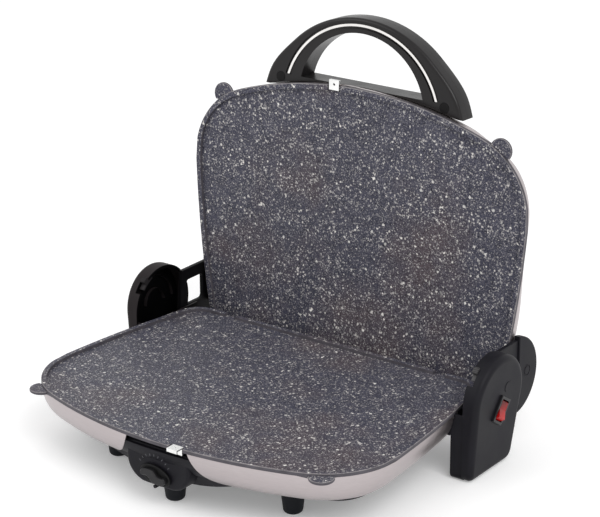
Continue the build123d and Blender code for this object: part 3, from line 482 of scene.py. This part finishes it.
class Effect(Nodes):
    """A node group that several materials share, with named inputs and outputs."""

    kinds = {"Colour": "NodeSocketColor", "Normal": "NodeSocketVector", "Outward": "NodeSocketVector"}

    def __init__(self, name, inputs, outputs):
        super().__init__(bpy.data.node_groups.new(name, "ShaderNodeTree"))
        for in_out, labels in (("INPUT", inputs), ("OUTPUT", outputs)):
            for label in labels:
                kind = self.kinds.get(label, "NodeSocketFloat")
                self.tree.interface.new_socket(label, in_out=in_out, socket_type=kind)
        self.given = self.add("NodeGroupInput").outputs
        self.made = self.add("NodeGroupOutput").inputs

    def give(self, **values):
        """Links what the group puts out."""
        for label, value in values.items():
            self.put(self.made[label], value)


class Paint(Nodes):
    """One material, built round its Principled shader."""

    def __init__(self, name):
        self.material = bpy.data.materials.new(name)
        self.material.use_nodes = True
        super().__init__(self.material.node_tree)
        self.shader = self.tree.nodes["Principled BSDF"]

    def set(self, **values):
        """Sets or links the shader's own inputs; an underscore in a name stands for a space."""
        for name, value in values.items():
            self.put(self.shader.inputs[name.replace("_", " ")], value)

    def shared(self, effect, **values):
        """Places a shared effect with this material's values; gives its outputs."""
        return self.add("ShaderNodeGroup", values, node_tree=effect.tree).outputs


def rgb(red, green, blue):
    """An opaque colour."""
    return (red, green, blue, 1.0)


def make_stone():
    """Dark blue-grey non-stick coating; its cooking surface is thick with fine pale flecks.

    Outward is the cooking surface's normal, and Level its place along that normal.
    """
    stone = Effect("stone coating", ("Outward", "Level"), ("Colour", "Roughness", "Normal"))
    place, facing = stone.coordinates["Object"], stone.coordinates["Normal"]
    cloud = stone.noise(scale=90.0, detail=4.0, rough=0.6)
    tinge = stone.noise(scale=11.0, detail=3.0, rough=0.6)
    ground = stone.mix(stone.span(cloud, 0.35, 0.68), rgb(0.038, 0.038, 0.058), rgb(0.060, 0.060, 0.088))
    skin = stone.mix(stone.span(tinge, 0.5, 0.68, 0.0, 0.75), ground, rgb(0.080, 0.057, 0.062))
    relief = 0.0
    # Fine grains: noise scale, the range of noise where they fade in, and colour
    for number, (scale, low, high, shade) in enumerate(((1150.0, 0.55, 0.64, rgb(0.190, 0.185, 0.205)),
                                                        (700.0, 0.60, 0.68, rgb(0.40, 0.385, 0.38)),
                                                        (800.0, 0.58, 0.66, rgb(0.006, 0.006, 0.012)))):
        shifted = stone.add("ShaderNodeMapping", {"Vector": place, "Location": (number, 0.0, 0.0)})
        grain = stone.noise(scale=scale, detail=2.0, rough=0.6, vector=shifted.outputs["Vector"])
        mask = stone.span(grain, low, high, 0.0, 0.9)
        skin = stone.mix(mask, skin, shade)
        relief = stone.math("ADD", mask, relief)
    # Pale flecks: cells in a metre, share of the cells that hold one, radius in cells, and colour
    for scale, share, radius, shade in ((760.0, 0.30, 0.66, rgb(0.46, 0.44, 0.43)),
                                        (520.0, 0.15, 0.58, rgb(0.80, 0.77, 0.73)),
                                        (380.0, 0.035, 0.52, rgb(0.86, 0.84, 0.80))):
        mask, chance = stone.flecks(scale, share, radius)
        strength = stone.math("MULTIPLY", mask, stone.span(chance, 0.0, 1.0, 0.35, 1.0))
        skin = stone.mix(strength, skin, shade)
        relief = stone.math("ADD", mask, relief)
    # The flecked skin is on the cooking surface alone; a painted highlight runs as a pale line where the
    # rim turns over
    above = stone.math("SUBTRACT", stone.dot(place, stone.given["Outward"]), stone.given["Level"])
    flat = stone.dot(facing, stone.given["Outward"])
    on_surface = stone.math("GREATER_THAN", above, -speckle_reach)
    cooking = stone.math("MULTIPLY", stone.span(flat, 0.45, 0.75), on_surface)
    rim = stone.mix(stone.spread(cloud), rgb(0.066, 0.061, 0.070), rgb(0.104, 0.096, 0.111))
    turning = stone.math("MULTIPLY", stone.span(flat, 0.25, 0.55), stone.span(flat, 0.86, 0.97, 1.0, 0.0))
    rim_highlight = stone.math("MULTIPLY", turning, stone.span(cloud, 0.3, 0.65, 0.3, 0.9))
    colour = stone.mix(rim_highlight, stone.mix(cooking, rim, skin), rgb(0.30, 0.28, 0.28))
    height = stone.math("MULTIPLY", relief, cooking)
    stone.give(Colour=colour, Roughness=stone.spread(cloud, 0.42, 0.55))
    stone.give(Normal=stone.bump(height, depth=0.06 * MM, strength=0.6))
    return stone


def make_strokes():
    """Level brush strokes on satin steel."""
    brush = Effect("brush strokes", ("Colour", "Roughness", "Streak"), ("Colour", "Roughness", "Normal"))
    fine = brush.noise(scale=1.0, detail=3.0, rough=0.65, vector=brush.stretched(45.0, 45.0, 4200.0))
    broad = brush.noise(scale=1.0, vector=brush.stretched(160.0, 160.0, 1500.0))
    strokes = brush.math("ADD", brush.math("MULTIPLY", fine, 0.6), brush.math("MULTIPLY", broad, 0.4))
    uneven = brush.math("MULTIPLY", brush.spread(strokes, -0.05, 0.06), brush.given["Streak"])
    strength = brush.math("MULTIPLY", brush.given["Streak"], 0.2)
    brush.give(Colour=brush.shaded(brush.given["Colour"], brush.spread(strokes, 0.92, 1.06)))
    brush.give(Roughness=brush.math("ADD", brush.given["Roughness"], uneven))
    brush.give(Normal=brush.bump(strokes, depth=0.02 * MM, strength=strength))
    return brush


def make_grain():
    """Fine spark-eroded grain and slight wear of moulded plastic."""
    mould = Effect("moulded grain", ("Colour", "Roughness", "Grain"), ("Colour", "Roughness", "Normal"))
    fine = mould.noise(scale=2600.0)
    broad = mould.noise(scale=45.0, detail=3.0)
    mould.give(Colour=mould.shaded(mould.given["Colour"], mould.spread(broad, 0.8, 1.25)))
    mould.give(Roughness=mould.math("ADD", mould.given["Roughness"], mould.spread(broad, -0.05, 0.06)))
    mould.give(Normal=mould.bump(fine, depth=0.03 * MM, strength=mould.given["Grain"]))
    return mould


def make_hairlines():
    """Faint hairlines and smears on polished or plated metal."""
    metal = Effect("hairlines", ("Colour", "Roughness"), ("Colour", "Roughness", "Normal"))
    hair = metal.noise(scale=900.0, detail=4.0, rough=0.6)
    smear = metal.noise(scale=60.0)
    metal.give(Colour=metal.shaded(metal.given["Colour"], metal.spread(smear, 0.88, 1.0)))
    metal.give(Roughness=metal.math("MULTIPLY", metal.given["Roughness"], metal.spread(hair, 0.8, 1.3)))
    metal.give(Normal=metal.bump(hair, depth=0.01 * MM, strength=0.2))
    return metal


def make_top_shade():
    """Painted shade on clear plastic: its colour darkens towards its top, along a ragged edge."""
    shading = Effect("painted top shade", ("Colour", "Bottom", "Top"), ("Colour",))
    height = shading.part(shading.coordinates["Object"], "Z")
    cloud = shading.math("MULTIPLY", shading.noise(scale=140.0), 2.0 * MM)
    depth = shading.math("ADD", height, cloud)
    share = shading.span(depth, shading.given["Bottom"], shading.given["Top"], 1.0, 0.22)
    shading.give(Colour=shading.shaded(shading.given["Colour"], share))
    return shading


stone_coating = make_stone()
brush_strokes = make_strokes()
moulded_grain = make_grain()
hairlines = make_hairlines()
painted_top_shade = make_top_shade()


def stone_coated(name, surface_point, outward):
    """A plate's non-stick coating, for a cooking surface through a point."""
    paint = Paint(name)
    skin = paint.shared(stone_coating, Outward=outward, Level=surface_point.dot(outward))
    paint.set(Base_Color=skin["Colour"], Roughness=skin["Roughness"], Normal=skin["Normal"])
    paint.set(Specular_IOR_Level=0.2)
    return paint.material


def brushed_steel(name, colour, roughness, streak=1.0):
    """Satin steel with fine level brush strokes."""
    paint = Paint(name)
    skin = paint.shared(brush_strokes, Colour=rgb(*colour), Roughness=roughness, Streak=streak)
    paint.set(Base_Color=skin["Colour"], Roughness=skin["Roughness"], Normal=skin["Normal"])
    paint.set(Metallic=1.0)
    return paint.material


def moulded_plastic(name, colour, roughness=0.5, grain=0.35, specular=0.15):
    """Moulded plastic with a fine grain and slight wear."""
    paint = Paint(name)
    skin = paint.shared(moulded_grain, Colour=rgb(*colour), Roughness=roughness, Grain=grain)
    paint.set(Base_Color=skin["Colour"], Roughness=skin["Roughness"], Normal=skin["Normal"])
    paint.set(Specular_IOR_Level=specular)
    return paint.material


def inward_shaded_plastic(name, colour, shade_colour):
    """Moulded plastic whose faces towards the plates are painted deep black as shade."""
    paint = Paint(name)
    skin = paint.shared(moulded_grain, Roughness=0.5, Grain=0.35)
    inward = paint.part(paint.coordinates["Normal"], "X")
    # Painted shade: faces turned towards +X, the plates' side, take the near-black shade colour
    paint.set(Base_Color=paint.mix(paint.span(inward, 0.35, 0.75), rgb(*colour), rgb(*shade_colour)))
    paint.set(Roughness=skin["Roughness"], Normal=skin["Normal"], Specular_IOR_Level=0.1)
    return paint.material


def knob_plastic(name):
    """Glossy black dial plastic, with painted shade that makes its hollows deep black beside the paler
    ridge.
    """
    low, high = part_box("thermostat_knob")
    ridge, floor = low.y + 1.6 * MM, low.y + 3.4 * MM
    paint = Paint(name)
    depth = paint.part(paint.coordinates["Object"], "Y")
    # Painted shade: deeper along Y means deeper in a hollow, and noise makes the shade's edge ragged
    shade_edge_noise = paint.math("MULTIPLY", paint.noise(scale=900.0, detail=3.0), 0.6 * MM)
    shaded_hollow = paint.span(paint.math("ADD", depth, shade_edge_noise), ridge, floor)
    paint.set(Base_Color=paint.mix(shaded_hollow, rgb(0.016, 0.0155, 0.017), rgb(0.0006, 0.0006, 0.0008)))
    paint.set(Roughness=paint.span(shaded_hollow, 0.0, 1.0, 0.32, 0.6), Specular_IOR_Level=0.25)
    paint.set(Normal=paint.bump(paint.noise(scale=2600.0), depth=0.02 * MM, strength=0.2))
    return paint.material


def bright_metal(name, colour, roughness):
    """Polished or plated metal with faint hairlines."""
    paint = Paint(name)
    skin = paint.shared(hairlines, Colour=rgb(*colour), Roughness=roughness)
    paint.set(Base_Color=skin["Colour"], Roughness=skin["Roughness"], Normal=skin["Normal"])
    paint.set(Metallic=1.0)
    return paint.material


def tinted_plastic(name, colour, painted_glow, bottom, top):
    """Clear coloured plastic of the rocker and of the indicator lens over its lamp, with painted shade
    towards the top and an optional painted glow.
    """
    paint = Paint(name)
    tone = paint.shared(painted_top_shade, Colour=rgb(*colour), Bottom=bottom, Top=top)["Colour"]
    paint.set(Base_Color=tone, Emission_Color=tone, Emission_Strength=painted_glow)
    paint.set(Roughness=0.34, Specular_IOR_Level=0.15)
    return paint.material


def dress(material, *nodes):
    """Gives CAD nodes a material in place of their own."""
    for name in nodes:
        for slot in frame["nodes"][name].material_slots:
            slot.material = material


def dress_plates():
    """Stone coating, each plate's with its own cooking surface."""
    surface = Vector((0.0, 0.0, plate_high.z - rim_depth))
    lid_surface = opened(surface + (2.0 * rim_depth + rim_gap) * upward)
    dress(stone_coated("lower stone coating", surface, upward), "lower_plate")
    dress(stone_coated("upper stone coating", lid_surface, -(open_turn @ upward)), "upper_plate")


def dress_mouldings():
    """Black plastic of the base, towers, arms, handle, feet and switch."""
    dress(moulded_plastic("black moulding", (0.0085, 0.0081, 0.0112)),
          "base_pan", "control_housing", "lower_seat_ring", "upper_seat_ring", "cord_gland",
          "right_tower_housing", "right_side_bracket", "left_side_bracket", "right_tower_cover",
          "tower_caps", "right_arm", "right_arm_cover", "left_arm_cover", "arm_caps")
    dress(inward_shaded_plastic("left tower moulding with painted shade", (0.0187, 0.0154, 0.0164), (0.0006, 0.0006, 0.0008)),
          "left_tower_housing", "left_tower_cover")
    # Painted shade: the left arm takes a darker copy of the black moulding
    dress(moulded_plastic("left arm shaded moulding", (0.0040, 0.0038, 0.0046), specular=0.1), "left_arm")
    dress(moulded_plastic("handle moulding", (0.0068, 0.0057, 0.0060), 0.32, 0.2, 0.3),
          "handle_front", "handle_back")
    dress(moulded_plastic("handle cap moulding", (0.0042, 0.0037, 0.0039), 0.45, 0.2), "handle_caps")
    dress(knob_plastic("knob moulding"), "thermostat_knob")
    dress(moulded_plastic("foot moulding", (0.010, 0.011, 0.014), 0.55, 0.4),
          "front_left_foot", "front_right_foot", "front_centre_foot")
    dress(moulded_plastic("switch bezel plastic", (0.010, 0.0095, 0.011), 0.35, 0.05, 0.25), "switch_body")
    # Painted light and shade: one catch plastic, lighter on the lit right catch and darker on the shaded
    # left one
    dress(moulded_plastic("lit catch plastic", (0.060, 0.058, 0.060), 0.45, 0.2, 0.3), "right_catch")
    dress(moulded_plastic("shaded catch plastic", (0.022, 0.020, 0.021), 0.5, 0.2), "left_catch")


def dress_inner_parts():
    """Plastic of the terminal block and the wires, and dull steel of the heaters."""
    dress(moulded_plastic("white terminal plastic", (0.7, 0.7, 0.66), 0.45, 0.2), "terminal_block")
    dress(moulded_plastic("wire sleeve", (0.6, 0.6, 0.55), 0.6, 0.5), "wiring")
    dress(brushed_steel("heater steel", (0.22, 0.2, 0.19), 0.45, 0.5), "lower_heater", "upper_heater")


def dress_lamps():
    """Red rocker and dark indicator lens."""
    low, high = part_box("rocker")
    bottom, top = low.z + 5.0 * MM, high.z - 3.0 * MM
    # Painted shade darkens the rocker towards its top, and a weak painted glow brightens it
    dress(tinted_plastic("red rocker plastic", (0.46, 0.007, 0.007), 0.05, bottom, top), "rocker")
    low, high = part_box("indicator_lens")
    dress(tinted_plastic("lamp lens plastic", (0.006, 0.004, 0.010), 0.0, low.z, high.z), "indicator_lens")


def dress_metal():
    """Steel shells, clips, inlay, pins, screws and reflectors."""
    dress(brushed_steel("shell steel", (0.46, 0.415, 0.42), 0.36), "lower_shell", "upper_shell")
    dress(bright_metal("inlay metal", (0.82, 0.80, 0.78), 0.16), "handle_strip")
    dress(bright_metal("clip metal", (0.86, 0.86, 0.85), 0.25), "lower_clip", "upper_clip")
    dress(bright_metal("plated steel", (0.6, 0.6, 0.6), 0.3), "right_hinge_pin", "left_hinge_pin",
          "tower_screws", "handle_screws", "thermostat", "thermostat_shaft", "thermal_fuse")
    dress(bright_metal("reflector steel", (0.7, 0.7, 0.7), 0.22), "lower_reflector", "upper_reflector")


def tick_tree():
    """Geometry Nodes for ticks along an arc, and the identifiers of the tree's named inputs."""
    tree = bpy.data.node_groups.new("dial ticks", "GeometryNodeTree")
    tree.interface.new_socket("Geometry", in_out="INPUT", socket_type="NodeSocketGeometry")
    named = {label: tree.interface.new_socket(label, in_out="INPUT", socket_type=kind).identifier
             for label, kind in (("Ticks", "NodeSocketInt"), ("Ring radius", "NodeSocketFloat"),
                                 ("Tick width", "NodeSocketFloat"), ("Tick length", "NodeSocketFloat"))}
    tree.interface.new_socket("Geometry", in_out="OUTPUT", socket_type="NodeSocketGeometry")
    given, made, arc, bar, spread, turn, along, real, finish = (tree.nodes.new(kind) for kind in (
        "NodeGroupInput", "NodeGroupOutput", "GeometryNodeCurveArc", "GeometryNodeMeshGrid",
        "GeometryNodeInstanceOnPoints", "FunctionNodeAlignRotationToVector", "GeometryNodeInputTangent",
        "GeometryNodeRealizeInstances", "GeometryNodeSetMaterial"))
    arc.inputs["Start Angle"].default_value = radians(tick_start)
    arc.inputs["Sweep Angle"].default_value = radians(tick_sweep)
    bar.inputs["Vertices X"].default_value = 2
    bar.inputs["Vertices Y"].default_value = 4
    turn.axis = "X"
    finish.inputs["Material"].default_value = moulded_plastic("printed mark", (0.10, 0.10, 0.11), 0.5, 0.1)
    for source, name, target, key in ((given, "Ticks", arc, "Resolution"),
                                      (given, "Ring radius", arc, "Radius"),
                                      (given, "Tick width", bar, "Size X"),
                                      (given, "Tick length", bar, "Size Y"),
                                      (arc, "Curve", spread, "Points"),
                                      (bar, "Mesh", spread, "Instance"),
                                      (along, "Tangent", turn, "Vector"),
                                      (turn, "Rotation", spread, "Rotation"),
                                      (spread, "Instances", real, "Geometry"),
                                      (real, "Geometry", finish, "Geometry"),
                                      (finish, "Geometry", made, "Geometry")):
        tree.links.new(source.outputs[name], target.inputs[key])
    return tree, named


def dial_marks():
    """Printed ticks round the dial, repeated by Geometry Nodes on the fascia."""
    tree, named = tick_tree()
    carrier = bpy.data.objects.new("ticks", bpy.data.meshes.new("ticks"))
    bpy.context.collection.objects.link(carrier)
    grown = carrier.modifiers.new("ticks", "NODES")
    grown.node_group = tree
    for label, value in (("Ticks", tick_count), ("Ring radius", tick_ring),
                         ("Tick width", tick_width), ("Tick length", tick_length)):
        grown[named[label]] = value
    shape = carrier.evaluated_get(bpy.context.evaluated_depsgraph_get())
    mesh = bpy.data.meshes.new_from_object(shape)
    bpy.data.objects.remove(carrier)
    knob_low, knob_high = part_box("thermostat_knob")
    fascia_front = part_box("control_housing")[0].y
    centre = (knob_low + knob_high) / 2.0
    place = Matrix.Translation((centre.x, fascia_front - print_proud, centre.z))
    mesh.transform(place @ Matrix.Rotation(radians(90.0), 4, "X"))
    piece = bpy.data.objects.new("dial_marks", mesh)
    bpy.context.collection.objects.link(piece)
    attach(piece, "base")


def pale_floor():
    """A wide plain floor, nearly white."""
    bpy.ops.mesh.primitive_plane_add(size=floor_size)
    floor = bpy.context.object
    floor.name = "floor"
    paint = Paint("floor paint")
    paint.set(Base_Color=rgb(floor_shade, floor_shade, floor_shade), Roughness=0.9, Specular_IOR_Level=0.1)
    paint.set(Emission_Color=rgb(1.0, 1.0, 1.0))
    paint.set(Emission_Strength=paint.math("MULTIPLY", paint.seen(), floor_glow))
    floor.data.materials.append(paint.material)


def soft_box(name, place, power):
    """A large square lamp that faces the machine."""
    light = bpy.data.lights.new(name, "AREA")
    light.shape = "SQUARE"
    light.size = lamp_size
    light.energy = power
    lamp = bpy.data.objects.new(name, light)
    lamp.location = place
    aim = Vector(lamp_target) - Vector(place)
    lamp.rotation_euler = aim.to_track_quat("-Z", "Y").to_euler()
    bpy.context.collection.objects.link(lamp)


def studio_light():
    """Even white surroundings, a large key lamp at the right and a weaker one at the front left."""
    world = bpy.data.worlds.new("studio")
    bpy.context.scene.world = world
    world.use_nodes = True
    sky = Nodes(world.node_tree)
    background = world.node_tree.nodes["Background"]
    sky.put(background.inputs["Color"], rgb(1.0, 1.0, 1.0))
    sky.put(background.inputs["Strength"], sky.span(sky.seen(), 0.0, 1.0, sky_on_machine, sky_seen))
    soft_box("key", key_place, key_power)
    soft_box("fill", fill_place, fill_power)


def set_camera():
    """The photograph's viewpoint."""
    lens = bpy.data.cameras.new("camera")
    lens.lens = lens_mm
    lens.sensor_width = sensor_mm
    camera = bpy.data.objects.new("camera", lens)
    back = camera_right.cross(camera_up)
    turn = Matrix((camera_right, camera_up, back)).transposed().to_4x4()
    camera.matrix_world = Matrix.Translation(camera_place) @ turn
    bpy.context.collection.objects.link(camera)
    bpy.context.scene.camera = camera


dress_plates()
dress_mouldings()
dress_inner_parts()
dress_lamps()
dress_metal()
shape_plates()
bevel_towers()
dial_marks()
pale_floor()
studio_light()
set_camera()
bpy.context.scene.view_settings.view_transform = "Standard"
